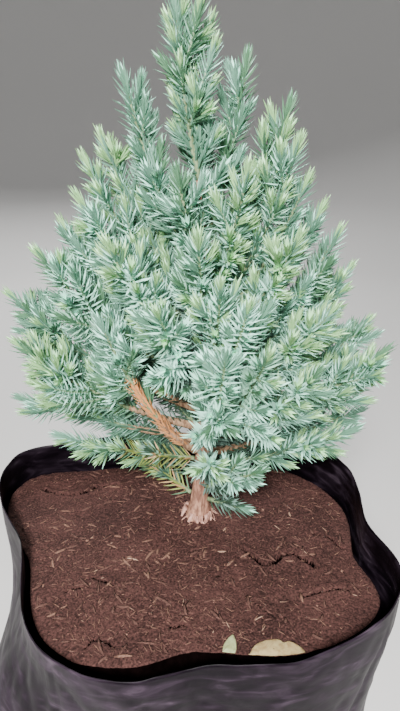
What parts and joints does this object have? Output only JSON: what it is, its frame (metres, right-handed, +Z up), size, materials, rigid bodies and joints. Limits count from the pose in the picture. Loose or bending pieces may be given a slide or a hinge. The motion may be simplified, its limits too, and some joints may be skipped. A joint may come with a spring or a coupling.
{
  "type": "potted juniper",
  "caption": "Young blue needle juniper, a bushy cone of prickly grey-green shoots round one trunk, in a soil-filled black plastic grow bag.",
  "frame": {"origin": "middle of the grow bag's flat underside", "axes": "+Z up along the trunk, -Y towards the picture's viewpoint, +X to its right"},
  "size_m": [0.1995, 0.1838, 0.4083],
  "materials": {
    "film": "thin black polythene film, slightly glossy, wrinkled and dusty",
    "soil": "dark brown potting mix with tan fibres",
    "bark": "thin flaking red-brown bark",
    "needles": "blue grey-green needles with a waxy bloom, yellow-green at the shoot tips",
    "yellow_needles": "yellowing and dry needles low on the plant"
  },
  "bodies": {
    "root": {"bag": "film", "soil": "soil", "trunk": "bark", "bough_right_low": "bark", "bough_front_lean": "bark", "bough_right_reach": "bark", "bough_left_low": "bark", "bough_front_dry": "bark", "bough_left_wide": "bark", "bough_right_back_mid": "bark", "bough_left_reach": "bark", "foliage_foot_left": "yellow_needles", "foliage_foot_right": "needles", "foliage_front_foot": "needles", "foliage_back_bottom_left": "needles", "foliage_front_right_foot": "needles", "foliage_back_bottom_right": "needles", "foliage_right_bottom": "needles", "foliage_front_hang": "needles", "foliage_back_low": "needles", "foliage_right_low": "needles", "foliage_left_bottom": "needles", "foliage_front_lean": "needles", "foliage_right_reach": "needles", "foliage_left_low": "needles", "foliage_front_right_low": "needles", "foliage_front_dry": "needles", "foliage_back_left_wide": "needles", "foliage_left_wide": "needles", "foliage_right_back_mid": "needles", "foliage_front_right_mid": "needles", "foliage_back_right_wide": "needles", "foliage_left_reach": "needles", "foliage_right_outer": "needles", "foliage_front_centre": "needles", "foliage_front_right_wide": "needles", "foliage_back_mid": "needles", "foliage_front_right_star": "needles", "foliage_right_mid": "needles", "foliage_left_mid": "needles", "foliage_front_left_star": "needles", "foliage_left_back": "needles", "foliage_front_left_mid": "needles", "foliage_back_right_high": "needles", "foliage_front_right_high": "needles", "foliage_back_left_high": "needles", "foliage_right_upper": "needles", "foliage_front_upper": "needles", "foliage_left_inner": "needles", "foliage_right_flank": "needles", "foliage_left_upper": "needles", "foliage_right_inner": "needles", "foliage_left_high": "needles", "foliage_front_high": "needles", "foliage_right_high": "needles", "foliage_left_spire": "needles", "foliage_front_left_high": "needles", "foliage_back_spire": "needles", "foliage_right_spire": "needles", "foliage_leader": "needles"}
  },
  "joints": []
}
